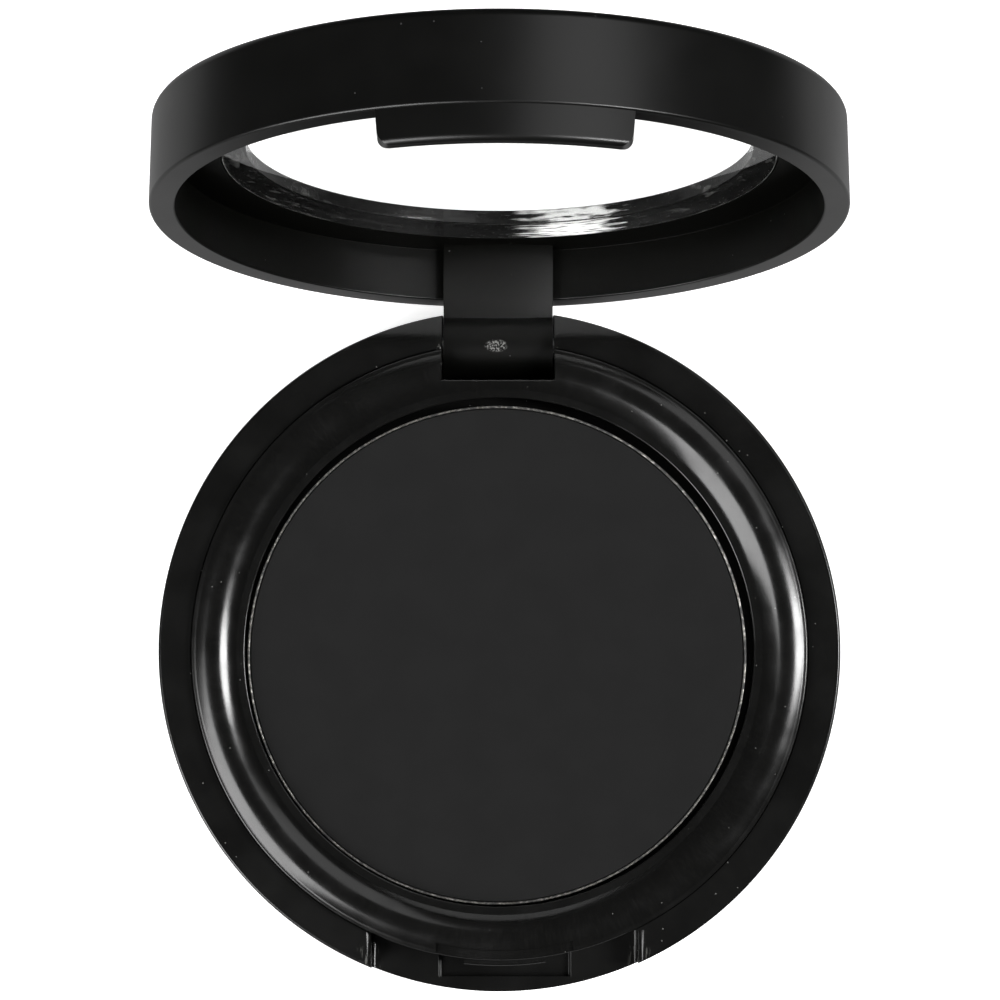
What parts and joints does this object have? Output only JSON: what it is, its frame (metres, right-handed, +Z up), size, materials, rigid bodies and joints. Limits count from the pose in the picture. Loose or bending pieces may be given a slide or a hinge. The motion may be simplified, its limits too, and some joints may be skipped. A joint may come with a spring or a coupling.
{
  "type": "eyeshadow compact",
  "caption": "Round eyeshadow compact holding one pressed powder pan, with a hinged windowed lid that opens by a thumb tab and stands leaning back.",
  "frame": {"origin": "centre of the base's underside, on the surface that it stands on", "axes": "+Z up from the underside; +Y from the thumb catch to the hinge; +X along the hinge pin; the lid is stored open, leaning back 15 degrees"},
  "size_m": [0.0502, 0.07, 0.0504],
  "materials": {
    "satin_black": "satin moulded plastic",
    "gloss_black": "glossy moulded plastic with fine speckle",
    "matte_black": "soft-touch matte coating",
    "clear": "clear polished",
    "tinplate": "thin bright sheet",
    "powder": "flat pressed powder",
    "pin_steel": "drawn wire",
    "adhesive": "dried clear glue",
    "label": "plain matte label"
  },
  "bodies": {
    "base": {"base_shell": "satin_black", "inner_tray": "gloss_black", "powder_pan": "tinplate", "eyeshadow_cake": "powder", "pan_adhesive": "adhesive", "hinge_pin": "pin_steel", "underside_label": "label"},
    "lid": {"lid_shell": "matte_black", "lid_window": "clear", "window_adhesive": "adhesive"}
  },
  "joints": [
    {"name": "lid_hinge", "type": "hinge", "parent": "base", "child": "lid", "pos_m": [0, 0.02235, 0.0054], "axis": [1, 0, 0], "range_deg": [0, 105]}
  ]
}
